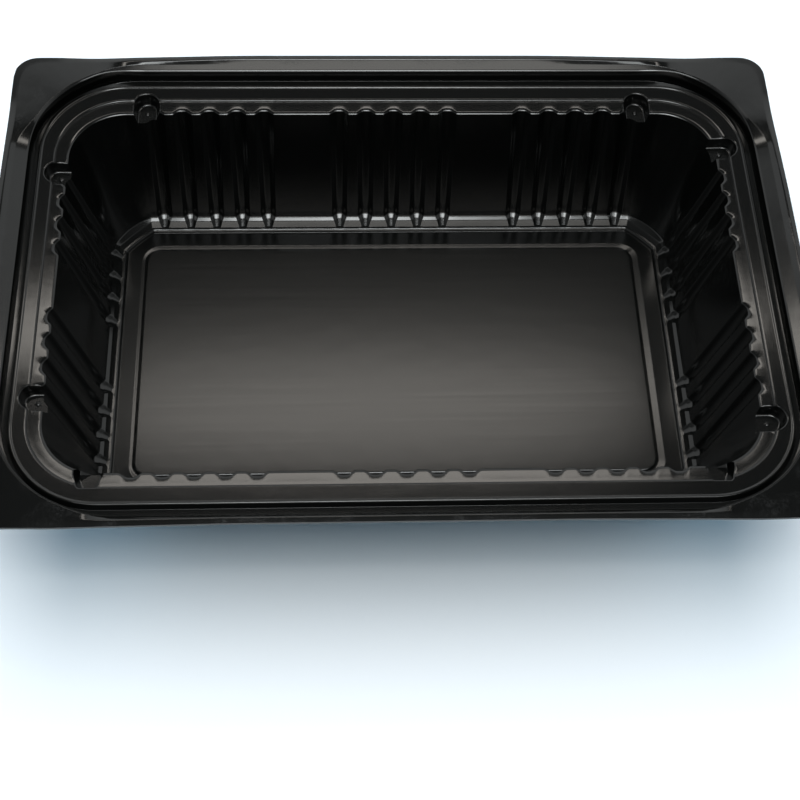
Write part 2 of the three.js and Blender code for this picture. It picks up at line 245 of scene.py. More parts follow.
# Pips on the far ridge and nubs in the pockets, with their radius and height, and how many
# segments they have round them and from top to bottom
PIP_PLACES = range(-3, 4)
PIP_MIDDLE = -20.5
PIP_PITCH = 20.6
PIP_SET_BACK = 0.25
PIP_HEIGHT = 42.78
PIP_SIZE = (0.42, 0.34)
NUB_IN = 0.6
NUB_SIZE = (0.8, 0.45)
DOME_SEGMENTS = (16, 8)

# Faces that meet at more than this many degrees keep a sharp edge, and large faces weigh more in
# the shading of the rest
SHARP_ANGLE = 38.0
NORMAL_WEIGHT = 60

# Heights, in metres, between which the base, the rim and the two faces that rub on a table or on
# other trays begin. WORN_SHARE is how far the rubbed patches take on their own colour, and
# WALL_STREAKS how strongly the streaks show on the walls, where they are 1 on the base.
BASE_STARTS = (0.0035, 0.0022)
RIM_STARTS = (0.04, 0.041)
TOP_TOUCHES = (0.0458, 0.0468)
FOOT_TOUCHES = (0.0006, 0.0002)
PLASTIC_IOR = 1.49
DUST_ROUGHNESS = 0.4
WORN_SHARE = 0.5
WALL_STREAKS = 0.25


def smoothstep(low, high, value):
    """How far a value is on its way between two others, from 0 to 1, with soft ends."""
    share = np.clip((value - low) / (high - low), 0.0, 1.0)
    return share * share * (3.0 - 2.0 * share)


def flute_depth(place):
    """How deep a flute is across its width, from 0 at its sides (-1 and 1) to 1 in its middle."""
    return 1.0 - smoothstep(FLUTE_FLAT, 1.0, abs(place)) ** FLUTE_SHARPNESS


def side_places(groups, count):
    """Stations along one side: distance from its middle and from the flute's middle, and depth."""
    places = []
    for middle in groups:
        for index in range(count):
            centre = middle + (index - (count - 1) / 2) * FLUTE_PITCH
            for share in FLUTE_PLACES:
                offset = share * FLUTE_HALF_WIDTH
                places.append((centre + offset, offset, flute_depth(share)))
    places.sort()
    filled = [places[0]]
    for place in places[1:]:
        start = filled[-1][0]
        gap = place[0] - start
        parts = max(1, math.ceil(gap / PLAIN_STEP))
        filled += [(start + gap * part / parts, 0.0, 0.0) for part in range(1, parts)]
        filled.append(place)
    return filled


def corner_turns():
    """Angles of the stations round a corner, closer together where the flange's corner is tight."""
    turns = []
    for low, high, parts in zip(CORNER_TURNS, CORNER_TURNS[1:], CORNER_PARTS):
        turns += [low + (high - low) * part / parts for part in range(parts)]
    return [math.radians(turn) for turn in turns + [CORNER_TURNS[-1]]]


class Stations:
    """Where a line's points stand, counterclockwise from one end of the +X side.

    Quarter 0 is the +X end and the corner after it, 1 the +Y side, 2 the -X end and 3 the -Y side.
    """

    def __init__(self):
        rows = []
        for quarter in range(4):
            flutes = (SIDE_GROUPS, SIDE_FLUTES) if quarter % 2 else (END_GROUPS, END_FLUTES)
            rows += [(quarter, 0, *place, 0.0) for place in side_places(*flutes)]
            rows += [(quarter, 1, 0.0, 0.0, 0.0, turn) for turn in corner_turns()]
        table = np.array(rows)
        self.quarter = table[:, 0].astype(int)
        self.even = self.quarter % 2 == 0
        self.corner = table[:, 1] > 0
        self.along, self.offset, self.depth, self.turn = table[:, 2:].T
        ends, sides = (np.abs(self.along[chosen]).max() for chosen in (self.even, ~self.even))
        self.reach = np.where(self.even, ends, sides) + END_MARGIN
        self.count = len(rows)


class Line:
    """One closed line of the tray: a rounded rectangle with its share in the flutes and waves."""

    def __init__(self, name, x, y, z, corner, rounding=0.0, segments=0):
        self.name, self.x, self.y, self.z, self.corner = name, x, y, z, corner
        self.rounding, self.segments = rounding, segments

    def moved(self, out, down):
        """The same line for the underside, wider and lower."""
        return Line(self.name, self.x + out, self.y + out, self.z - down, self.corner + out,
                    UNDER_ROUNDING, UNDER_SEGMENTS)

    def corner_points(self, stations, half_out, half_along):
        """The corner's points in the quarter's own axes, out from the side and along it."""
        turn = stations.turn
        arc = np.stack([np.cos(turn), np.sin(turn)], axis=1)
        if self.name in TAB_LINES:
            return self.tab_points(arc, stations, half_out, half_along)
        if self.name == "brow":
            return self.brow_points(arc, stations, half_out, half_along)
        share = turn / QUARTER
        cut = np.stack([1.0 - share, share], axis=1)
        chamfer = CHAMFER.get(self.name, 0.0)
        bend = (arc * (1.0 - chamfer) + cut * chamfer) * self.corner
        return np.stack([half_out, half_along], axis=1) - self.corner + bend

    def lip_centre(self, stations):
        """The lip's corner centre in each quarter's own axes."""
        return np.where(stations.even[:, None], LIP_CENTRE, LIP_CENTRE[::-1])

    def tab_points(self, arc, stations, half_out, half_along):
        """Where rays from the lip's corner centre meet the rounded corner of the flange."""
        centre = self.lip_centre(stations)
        safe = np.maximum(arc, TINY)
        reach_out = (half_out - centre[:, 0]) / safe[:, 0]
        reach_along = (half_along - centre[:, 1]) / safe[:, 1]
        round_centre = np.stack([half_out, half_along], axis=1) - self.corner
        away = centre - round_centre
        dot = (arc * away).sum(axis=1)
        inner = dot**2 - (away**2).sum(axis=1) + self.corner**2
        reach_round = -dot + np.sqrt(np.maximum(inner, 0.0))
        on_out = centre[:, 1] + reach_out * arc[:, 1] <= round_centre[:, 1]
        on_along = centre[:, 0] + reach_along * arc[:, 0] <= round_centre[:, 0]
        reach = np.where(on_out, reach_out, np.where(on_along, reach_along, reach_round))
        return centre + arc * reach[:, None]

    def brow_points(self, arc, stations, half_out, half_along):
        """An arc round the lip, which closes in on it from both straight sides."""
        centre = self.lip_centre(stations)
        gap_out = half_out - centre[:, 0] - self.corner - BROW_GAP
        gap_along = half_along - centre[:, 1] - self.corner - BROW_GAP
        gap = BROW_GAP + gap_out * (1.0 - smoothstep(0.0, CORNER_EASE, stations.turn))
        gap += gap_along * smoothstep(QUARTER - CORNER_EASE, QUARTER, stations.turn)
        return centre + arc * (self.corner + gap)[:, None]

    def points(self, stations, shape):
        """The line's points in metres."""
        half_out = np.where(stations.even, self.x, self.y)
        half_along = np.where(stations.even, self.y, self.x)
        flute = stations.depth * FLUTE_SHARE.get(self.name, 0.0) * shape.flute_depth / MM
        squeeze = 1.0 - FLUTE_WIDTH.get(self.name, 1.0)
        along = stations.along - stations.offset * squeeze
        if self.name not in FLANGE_LINES:
            along = along * np.minimum(1.0, (half_along - self.corner) / stations.reach)
        side = np.stack([half_out + flute, along], axis=1)
        corner = self.corner_points(stations, half_out, half_along)
        local = np.where(stations.corner[:, None], corner, side)
        height = np.full(stations.count, self.z)
        wave, fold = WAVE_SHARE.get(self.name, 0.0), FOLD_SHARE.get(self.name, 0.0)
        if wave or fold:
            rise, drop = edge_wave(local, stations, half_out)
            height += wave * rise * shape.edge_rise / MM - fold * drop * shape.fold_drop / MM
        if self.name in CORNER_RISE:
            turned = np.minimum(stations.turn, QUARTER - stations.turn)
            rise = CORNER_RISE[self.name] * smoothstep(0.0, CORNER_EASE, turned)
            height += np.where(stations.corner, rise, 0.0)
        angle = stations.quarter * QUARTER
        cos, sin = np.round(np.cos(angle)), np.round(np.sin(angle))
        across = local[:, 0] * cos - local[:, 1] * sin
        upwards = local[:, 0] * sin + local[:, 1] * cos
        return np.stack([across + SHIFT.get(self.name, 0.0), upwards, height], axis=1) * MM


def edge_wave(local, stations, half_out):
    """How far the edge has risen and its strip folded down, from 0 to 1, in a quarter's axes."""
    even = stations.even
    long_side = even == (local[:, 0] < half_out - TINY)
    along_x = np.abs(np.where(even, local[:, 0], local[:, 1]))
    along_y = np.abs(np.where(even, local[:, 1], local[:, 0]))
    side_rise = 1.0 - smoothstep(*SIDE_WAVE, along_x)
    end_rise = 1.0 - smoothstep(*END_WAVE, along_y)
    side_drop = 1.0 - smoothstep(*SIDE_FOLD, along_x)
    end_drop = 1.0 - smoothstep(*END_FOLD, along_y)
    return np.where(long_side, side_rise, end_rise), np.where(long_side, side_drop, end_drop)


def section_normal(outer, inner):
    """Square to the section between two lines, as (outwards, downwards)."""
    run = (outer.x - inner.x + outer.y - inner.y) / 2
    fall = outer.z - inner.z
    length = math.hypot(run, fall) or 1.0
    return np.array([fall / length, run / length])


def underside(lines, sheet):
    """The same lines one sheet lower, each moved square to the section that turns there."""
    moved = []
    for index, line in enumerate(lines):
        arriving = section_normal(lines[max(index - 1, 0)], line)
        leaving = section_normal(line, lines[min(index + 1, len(lines) - 1)])
        normal = arriving + leaving
        normal = normal / np.linalg.norm(normal)
        facing = leaving if leaving.any() else arriving
        stretch = sheet * min(1.0 / float(normal @ facing), LONGEST_MITRE)
        moved.append(line.moved(normal[0] * stretch, normal[1] * stretch))
    return moved


def extruded_rings(bm, rings):
    """Extrudes a ring of points to each of the next ones. Returns the edges of every ring."""
    station = bm.verts.layers.int.get("station") or bm.verts.layers.int.new("station")
    drawn = bmesh.ops.create_circle(bm, segments=len(rings[0]), radius=1.0, cap_ends=False)
    verts = drawn["verts"]
    for index, vert in enumerate(verts):
        vert[station] = index
        vert.co = rings[0][index]
    edges = list({edge for vert in verts for edge in vert.link_edges})
    edge_rings = [edges]
    for ring in rings[1:]:
        grown = bmesh.ops.extrude_edge_only(bm, edges=edge_rings[-1])["geom"]
        for vert in (item for item in grown if isinstance(item, bmesh.types.BMVert)):
            vert.co = ring[vert[station]]
        edge_rings.append([item for item in grown if isinstance(item, bmesh.types.BMEdge)])
    return edge_rings


def closed_rings(bm, rings):
    """Extruded rings with a face over the first and the last one."""
    edge_rings = extruded_rings(bm, rings)
    for edges in (edge_rings[0], edge_rings[-1]):
        bmesh.ops.holes_fill(bm, edges=edges, sides=0)
    return edge_rings


def bent_rings(lines, stations, shape):
    """Every line with its points, and a curve's points in place of each line in BENDS."""
    points = [line.points(stations, shape) for line in lines]
    rings = []
    for index, line in enumerate(lines):
        if line.name not in BENDS:
            rings.append((line, points[index]))
            continue
        before, after, steps = BENDS[line.name]
        middle = points[index]
        start = middle + (points[index - 1] - middle) * before
        end = middle + (points[index + 1] - middle) * after
        for step in range(steps + 1):
            share = step / steps
            near, far = start * (1 - share) ** 2, end * share**2
            rings.append((None, near + middle * 2 * share * (1 - share) + far))
    return rings


def terrain(lines, stations, shape):
    """A closed solid under a stack of lines, with each line rounded, on a skirt."""
    bm = bmesh.new()
    rings = bent_rings(lines, stations, shape)
    skirt = rings[0][1].copy()
    skirt[:, 2] = SKIRT_BOTTOM * MM
    edge_rings = closed_rings(bm, [skirt] + [points for _, points in rings])
    for (line, _), edges in zip(rings[1:], edge_rings[2:]):
        if line and line.segments:
            bmesh.ops.bevel(bm, geom=edges, offset=line.rounding * MM, offset_type="OFFSET",
                            affect="EDGES", segments=line.segments, profile=0.5, material=-1,
                            clamp_overlap=True)
    bmesh.ops.recalc_face_normals(bm, faces=bm.faces)
    return bm


def round_outline(grow):
    """A pocket seen from above: a half circle at its back and an open front, as (across, out)."""
    half = POCKET_WIDTH / 2 + grow
    turns = np.linspace(0.0, math.pi, POCKET_ARC_POINTS)
    arc = [(half * math.cos(turn), half * math.sin(turn)) for turn in turns]
    sides = (*POCKET_SIDE_STEPS, -POCKET_REACH)
    left = [(-half, out) for out in sides]
    right = [(half, out) for out in reversed(sides)]
    return np.array(right + arc + left)


def tapered_outline(grow):
    """A pocket that narrows towards its flat back."""
    front = POCKET_WIDTH / 2 + grow
    shoulder = TAPERED_POCKET["shoulder"] / 2 + grow
    back = TAPERED_POCKET["back"] / 2 + grow
    depth = TAPERED_POCKET["depth"] + grow
    shoulder_out = depth * TAPERED_POCKET["shoulder_at"]
    right = [(front, -POCKET_REACH), (front, TAPER_START), (shoulder, shoulder_out), (back, depth)]
    return np.array(right + [(-across, out) for across, out in reversed(right)])


def ground_height(out, lines, half):
    """Height of the upper face at a distance out from the step's foot, on a side or an end."""
    named = {line.name: line for line in lines}
    order = [named[name] for name in ("shelf", "step_foot", "step_top", "ledge", "ridge_inner")]
    foot = getattr(named["step_foot"], half)
    places = [getattr(line, half) - foot for line in order]
    return np.interp(out, places, [line.z for line in order])


def pocket_levels(outline, floor, grow, flare, ground):
    """Rings of a pocket's cutter: rounded at its floor, drafted, and flared at the ground."""
    round_floor = POCKET_FLOOR_ROUNDING - min(grow, POCKET_ROUNDING_LOSS)
    turns = [step / ROUNDING_STEPS * QUARTER for step in range(ROUNDING_STEPS + 1)]
    levels = []

    def level(ring, height):
        levels.append(np.column_stack([ring, np.broadcast_to(height, len(ring))]))

    for turn in turns:
        inward = -POCKET_DRAFT - round_floor * (1.0 - math.sin(turn))
        ring = outline(grow + inward)
        tilt = POCKET_FLOOR_SLOPE * ring[:, 1]
        level(ring, floor + tilt + round_floor * (1.0 - math.cos(turn)))
    for turn in turns if flare else turns[:1]:
        ring = outline(grow + flare * (1.0 - math.cos(turn)))
        level(ring, ground(ring[:, 1]) - flare * (1.0 - math.sin(turn)))
    level(outline(grow + flare * POCKET_RIM_CLEARANCE), CUT_TOP)
    return levels


def pocket_cutters(lines, shape, grow, flare):
    """One mesh with the cutter of all eight pockets."""
    named = {line.name: line for line in lines}
    foot, shelf = named["step_foot"], named["shelf"]
    floor = shelf.z - shape.pocket_depth / MM - grow
    places = []
    for end in (-1, 1):
        places += [
            (round_outline, "y", end * FAR_POCKET_X, foot.y, 0),
            (round_outline, "x", -foot.x, end * LEFT_POCKET_Y, 1),
            (round_outline, "x", foot.x, end * RIGHT_POCKET_Y, 3),
            (tapered_outline, "y", end * NEAR_POCKET_X, -foot.y, 2),
        ]
    bm = bmesh.new()
    for outline, half, x, y, quarters in places:
        levels = pocket_levels(outline, floor, grow, flare,
                               lambda out: ground_height(out, lines, half))
        place = Matrix.Translation((x * MM, y * MM, 0.0))
        place = place @ Matrix.Rotation(quarters * QUARTER, 4, "Z")
        closed_rings(bm, [[place @ Vector(point * MM) for point in level] for level in levels])
    bmesh.ops.recalc_face_normals(bm, faces=bm.faces)
    return bm


def linked_object(name, bm):
    """Puts a bmesh in the scene as an object of its own."""
    mesh = bpy.data.meshes.new(name)
    bm.to_mesh(mesh)
    bm.free()
    made = bpy.data.objects.new(name, mesh)
    bpy.context.scene.collection.objects.link(made)
    return made


def remove(thing):
    """Takes an object and its mesh out of the file."""
    mesh = thing.data
    bpy.data.objects.remove(thing)
    bpy.data.meshes.remove(mesh)


def cut_away(body_bm, cutter_bm):
    """The first mesh without the second, as a new bmesh."""
    body, cutter = linked_object("uncut", body_bm), linked_object("cutter", cutter_bm)
    cut = body.modifiers.new("pockets", "BOOLEAN")
    cut.operation, cut.solver, cut.object = "DIFFERENCE", "MANIFOLD", cutter
    bpy.context.view_layer.update()
    result = bmesh.new()
    result.from_object(body, bpy.context.evaluated_depsgraph_get())
    remove(body)
    remove(cutter)
    return result


def open_sheet(bm):
    """Takes off the skirt and the bottom, so that the upper face alone is left."""
    low = [face for face in bm.faces if min(vert.co.z for vert in face.verts) < SKIRT_CUT * MM]
    bmesh.ops.delete(bm, geom=low, context="FACES")
    if not bm.faces:
        raise RuntimeError("the cut left nothing of the sheet")
    return bm


def build_shell(shape):
    """The sheet: its upper and its lower face, each with the pockets, joined round the edge."""
    stations = Stations()
    upper = [Line(*row) for row in UPPER_LINES]
    named = {line.name: line for line in upper}
    sheet, rounding = shape.sheet / MM, shape.pocket_rounding / MM
    lower = underside([named[name] for name in UNDER_LINES], sheet)
    top = open_sheet(cut_away(terrain(upper, stations, shape),
                              pocket_cutters(upper, shape, 0.0, rounding)))
    bottom = open_sheet(cut_away(terrain(lower, stations, shape),
                                 pocket_cutters(upper, shape, sheet, 0.0)))
    bmesh.ops.reverse_faces(bottom, faces=bottom.faces)
    lower_mesh = bpy.data.meshes.new("underside")
    bottom.to_mesh(lower_mesh)
    bottom.free()
    top.from_mesh(lower_mesh)
    bpy.data.meshes.remove(lower_mesh)
    rims = [edge for edge in top.edges if edge.is_boundary]
    bmesh.ops.bridge_loops(top, edges=rims)
    bmesh.ops.recalc_face_normals(top, faces=top.faces)
    open_edges = sum(1 for edge in top.edges if not edge.is_manifold)
    print("tray_shell:", len(top.faces), "faces,", open_edges, "open edges")
    for face in top.faces:
        face.smooth = True
    shell = linked_object("tray_shell", top)
    shell.data.set_sharp_from_angle(angle=math.radians(SHARP_ANGLE))
    weighted = shell.modifiers.new("even_normals", "WEIGHTED_NORMAL")
    weighted.mode, weighted.keep_sharp = "FACE_AREA_WITH_ANGLE", True
    weighted.weight = NORMAL_WEIGHT
    return shell


def add_domes(bm, places, radius, height):
    """Low round domes, whose middles stand at the given places."""
    round_segments, high_segments = DOME_SEGMENTS
    for place in places:
        flat = Matrix.Diagonal((radius, radius, height, 1.0))
        bmesh.ops.create_uvsphere(bm, u_segments=round_segments, v_segments=high_segments,
                                  radius=MM, matrix=Matrix.Translation(Vector(place) * MM) @ flat)


def build_pips(shape):
    """The small pips on the far ridge, and the nub in the floor of each pocket."""
    named = {row[0]: Line(*row) for row in UPPER_LINES}
    foot, shelf = named["step_foot"], named["shelf"]
    bm = bmesh.new()
    ridge_y = (named["ridge"].y + named["ridge_inner"].y) / 2 + PIP_SET_BACK
    pips = [(PIP_MIDDLE + index * PIP_PITCH, ridge_y, PIP_HEIGHT) for index in PIP_PLACES]
    add_domes(bm, pips, *PIP_SIZE)
    floor = shelf.z - shape.pocket_depth / MM
    nubs = [(end * FAR_POCKET_X, foot.y - NUB_IN, floor) for end in (-1, 1)]
    nubs += [(NUB_IN - foot.x, end * LEFT_POCKET_Y, floor) for end in (-1, 1)]
    nubs += [(foot.x - NUB_IN, end * RIGHT_POCKET_Y, floor) for end in (-1, 1)]
    add_domes(bm, nubs, *NUB_SIZE)
    for face in bm.faces:
        face.smooth = True
    return linked_object("rim_pips", bm)


def effect_group(name, inputs, output):
    """An empty node group with number inputs, a vector input and one number output."""
    tree = bpy.data.node_groups.new(name, "ShaderNodeTree")
    sockets = tree.interface
    sockets.new_socket(name="Vector", in_out="INPUT", socket_type="NodeSocketVector")
    for label, value in inputs:
        socket = sockets.new_socket(name=label, in_out="INPUT", socket_type="NodeSocketFloat")
        socket.default_value = value
    sockets.new_socket(name=output, in_out="OUTPUT", socket_type="NodeSocketFloat")
    return tree, tree.nodes.new("NodeGroupInput"), tree.nodes.new("NodeGroupOutput")


def math_node(tree, operation, *values):
    """A Math node whose inputs are sockets or plain numbers."""
    node = tree.nodes.new("ShaderNodeMath")
    node.operation = operation
    for entry, value in zip(node.inputs, values):
        if isinstance(value, bpy.types.NodeSocket):
            tree.links.new(value, entry)
        else:
            entry.default_value = value
    return node.outputs["Value"]


def ranged(tree, value, low, high, to_low=0.0, to_high=1.0):
    """A value taken from one range to another, and held there."""
    node = tree.nodes.new("ShaderNodeMapRange")
    limits = {"From Min": low, "From Max": high, "To Min": to_low, "To Max": to_high}
    for label, limit in limits.items():
        node.inputs[label].default_value = limit
    tree.links.new(value, node.inputs["Value"])
    return node.outputs["Result"]


def noise_node(tree, vector, scale, detail, distortion=0.0):
    """A Noise Texture's value, with its scale from a socket or a plain number."""
    node = tree.nodes.new("ShaderNodeTexNoise")
    node.inputs["Detail"].default_value = detail
    node.inputs["Distortion"].default_value = distortion
    tree.links.new(vector, node.inputs["Vector"])
    if isinstance(scale, bpy.types.NodeSocket):
        tree.links.new(scale, node.inputs["Scale"])
    else:
        node.inputs["Scale"].default_value = scale
    return node.outputs["Fac"]


def mixed(tree, blend, factor, first, second):
    """A colour mix of two sockets, or of a socket and a fixed colour."""
    mix = tree.nodes.new("ShaderNodeMix")
    mix.data_type, mix.blend_type = "RGBA", blend
    for identifier, value in (("Factor_Float", factor), ("A_Color", first), ("B_Color", second)):
        into = next(entry for entry in mix.inputs if entry.identifier == identifier)
        if isinstance(value, bpy.types.NodeSocket):
            tree.links.new(value, into)
        else:
            into.default_value = value
    return next(entry for entry in mix.outputs if entry.identifier == "Result_Color")


def sheet_streaks():
    """Faint lines that run along X, as the sheet came off its roller."""
    tree, given, out = effect_group("sheet_streaks", (("Length", 0.12), ("Width", 0.0012)), "Mask")
    parts = tree.nodes.new("ShaderNodeSeparateXYZ")
    tree.links.new(given.outputs["Vector"], parts.inputs["Vector"])
    stretched = tree.nodes.new("ShaderNodeCombineXYZ")
    for axis, size in (("X", "Length"), ("Y", "Width"), ("Z", "Length")):
        share = math_node(tree, "DIVIDE", parts.outputs[axis], given.outputs[size])
        tree.links.new(share, stretched.inputs[axis])
    lines = noise_node(tree, stretched.outputs["Vector"], scale=1.0, detail=4.0)
    tree.links.new(ranged(tree, lines, low=0.3, high=0.7), out.inputs["Mask"])
    return tree


def moulding_mottle():
    """Soft unevenness of the drawn sheet, with a finer grain on it."""
    sizes = (("Size", 0.006), ("Grain", 0.0004), ("Grain Share", 0.1))
    tree, given, out = effect_group("moulding_mottle", sizes, "Height")
    coarse, fine = (
        noise_node(tree, given.outputs["Vector"],
                   math_node(tree, "DIVIDE", 1.0, given.outputs[size]), detail)
        for size, detail in (("Size", 2.0), ("Grain", 1.0))
    )
    fine = math_node(tree, "MULTIPLY", fine, given.outputs["Grain Share"])
    tree.links.new(math_node(tree, "ADD", coarse, fine), out.inputs["Height"])
    return tree


def dust_specks():
    """Small pale specks, one in some of the cells of a loose grid."""
    sizes = (("Spacing", 0.006), ("Speck", 0.02), ("Share", 0.3))
    tree, given, out = effect_group("dust_specks", sizes, "Mask")
    cells = tree.nodes.new("ShaderNodeTexVoronoi")
    tree.links.new(given.outputs["Vector"], cells.inputs["Vector"])
    scale = math_node(tree, "DIVIDE", 1.0, given.outputs["Spacing"])
    tree.links.new(scale, cells.inputs["Scale"])
    near = math_node(tree, "LESS_THAN", cells.outputs["Distance"], given.outputs["Speck"])
    parts = tree.nodes.new("ShaderNodeSeparateColor")
    tree.links.new(cells.outputs["Color"], parts.inputs["Color"])
    chosen = math_node(tree, "LESS_THAN", parts.outputs["Red"], given.outputs["Share"])
    tree.links.new(math_node(tree, "MULTIPLY", near, chosen), out.inputs["Mask"])
    return tree


def contact_scuffs():
    """Fine rubbed patches, for where trays have slid on a table or in each other."""
    sizes = (("Patch", 0.009), ("Scratch", 0.0006))
    tree, given, out = effect_group("contact_scuffs", sizes, "Mask")
    masks = []
    for size, low, high in (("Patch", 0.5, 0.66), ("Scratch", 0.42, 0.6)):
        scale = math_node(tree, "DIVIDE", 1.0, given.outputs[size])
        marks = noise_node(tree, given.outputs["Vector"], scale, detail=3.0, distortion=0.6)
        masks.append(ranged(tree, marks, low, high))
    tree.links.new(math_node(tree, "MULTIPLY", *masks), out.inputs["Mask"])
    return tree


def effect(tree, group, vector, **values):
    """Places one effect in a material with its own values."""
    node = tree.nodes.new("ShaderNodeGroup")
    node.node_tree, node.name = group, group.name
    tree.links.new(vector, node.inputs["Vector"])
    for label, value in values.items():
        node.inputs[label.replace("_", " ")].default_value = value
    return node.outputs[0]


def plastic_material(finish):
    """Black polypropylene: satin on the base and glossy where the sheet was drawn out."""
    material = bpy.data.materials.new("black_polypropylene")
    material.use_nodes = True
    tree = material.node_tree
    shader = tree.nodes["Principled BSDF"]
    place = tree.nodes.new("ShaderNodeTexCoord").outputs["Object"]
    parts = tree.nodes.new("ShaderNodeSeparateXYZ")
    tree.links.new(place, parts.inputs["Vector"])
    height = parts.outputs["Z"]
    streaks = effect(tree, sheet_streaks(), place, Length=0.09, Width=0.0011)
    mottle = effect(tree, moulding_mottle(), place, Size=0.007, Grain=0.00045, Grain_Share=0.06)
    dust = effect(tree, dust_specks(), place, Spacing=0.009, Speck=0.012, Share=0.2)
    scuffs = effect(tree, contact_scuffs(), place)

    base = ranged(tree, height, *BASE_STARTS)
    rim = ranged(tree, height, *RIM_STARTS)
    touching = math_node(tree, "ADD", ranged(tree, height, *TOP_TOUCHES),
                         ranged(tree, height, *FOOT_TOUCHES))
    worn = math_node(tree, "MULTIPLY", scuffs, touching)
    centred = ranged(tree, streaks, 0.0, 1.0, to_low=-0.5, to_high=0.5)
    uneven = math_node(tree, "MULTIPLY", centred, finish.streaks)
    rough = finish.wall_roughness
    for mask, amount in (
        (base, finish.floor_roughness - finish.wall_roughness),
        (rim, finish.rim_roughness - finish.wall_roughness),
        (uneven, ranged(tree, base, 0.0, 1.0, to_low=WALL_STREAKS)),
        (worn, finish.scuffs),
        (dust, DUST_ROUGHNESS),
    ):
        rough = math_node(tree, "ADD", rough, math_node(tree, "MULTIPLY", mask, amount))
    tree.links.new(rough, shader.inputs["Roughness"])

    dulled = math_node(tree, "MULTIPLY", worn, WORN_SHARE)
    colour = mixed(tree, "MIX", dulled, (*finish.colour, 1.0), (*finish.worn_colour, 1.0))
    colour = mixed(tree, "MIX", dust, colour, (*finish.dust_colour, 1.0))
    tree.links.new(colour, shader.inputs["Base Color"])

    bump = tree.nodes.new("ShaderNodeBump")
    bump.inputs["Strength"].default_value = 1.0
    bump.inputs["Distance"].default_value = finish.unevenness
    tree.links.new(mottle, bump.inputs["Height"])
    tree.links.new(bump.outputs["Normal"], shader.inputs["Normal"])
    shader.inputs["IOR"].default_value = PLASTIC_IOR
    return material


def room_world(studio):
    """The light from all round: bright behind and beside the tray, up to the back softbox."""
    world = bpy.data.worlds.new("studio_room")
    world.use_nodes = True
    tree = world.node_tree
    nodes, links = tree.nodes, tree.links
    parts = nodes.new("ShaderNodeSeparateXYZ")
    links.new(nodes.new("ShaderNodeTexCoord").outputs["Generated"], parts.inputs["Vector"])
    colours = []
    for name, stops in (("room_back", ROOM_BACK), ("room_front", ROOM_FRONT)):
        ramp = nodes.new("ShaderNodeValToRGB")
        ramp.name = name
        links.new(parts.outputs["Z"], ramp.inputs["Fac"])
        elements = ramp.color_ramp.elements
        elements[0].position, elements[-1].position = stops[0][0], stops[-1][0]
        for position, _ in stops[1:-1]:
            elements.new(position)
        for element, (_, level) in zip(elements, stops):
            element.color = (*(level * tint for tint in ROOM_TINT), 1.0)
        colours.append(ramp.outputs["Color"])
    towards_front = ranged(tree, parts.outputs["Y"], *FRONT_BLEND)
    room = mixed(tree, "MIX", towards_front, *colours)
    lighting = nodes.new("ShaderNodeLightPath").outputs["Is Diffuse Ray"]
    tinted = mixed(tree, "MULTIPLY", lighting, room, (*ROOM_BLUE, 1.0))
    links.new(tinted, nodes["Background"].inputs["Color"])
    nodes["Background"].inputs["Strength"].default_value = studio.sky
    return world


def add_light(scene, light, power):
    """Hangs one of the LIGHTS, with a power in watts."""
    data = bpy.data.lights.new(light["name"], "AREA")
    data.shape, data.energy, data.color = light["shape"], power, light["colour"]
    data.size, data.size_y = light["size"]
    lamp = bpy.data.objects.new(light["name"], data)
    lamp.location = light["place"]
    if light["aimed"]:
        towards = Vector(LIGHT_TARGET) - Vector(light["place"])
        lamp.rotation_euler = towards.to_track_quat("-Z", "Y").to_euler()
    if "hidden_from" in light:
        setattr(lamp, "visible_" + light["hidden_from"], False)
    scene.collection.objects.link(lamp)


class TrayShape(bpy.types.PropertyGroup):
    """Sizes of the tray."""

    sheet: FloatProperty(
        name="Sheet", description="Thickness of the plastic sheet",
        default=0.0008, min=0.0002, unit="LENGTH", precision=5,
    )
    flute_depth: FloatProperty(
        name="Flute depth", description="How far the flutes go into the walls",
        default=0.00135, min=0.0, unit="LENGTH", precision=5,
    )
    edge_rise: FloatProperty(
        name="Edge rise", description="How far the flange's edge climbs to the middle of a side",
        default=0.001, min=0.0, unit="LENGTH", precision=5,
    )
    fold_drop: FloatProperty(
        name="Fold drop", description="How far the flange's outer strip is folded down",
        default=0.0004, min=0.0, unit="LENGTH", precision=5,
    )
    pocket_depth: FloatProperty(
        name="Pocket depth", description="Depth of the stacking pockets under the shelf",
        default=0.003, min=0.0, unit="LENGTH", precision=5,
    )
    pocket_rounding: FloatProperty(
        name="Pocket rounding", description="Rounding of the pockets' rims",
        default=0.00045, min=0.0, unit="LENGTH", precision=5,
    )


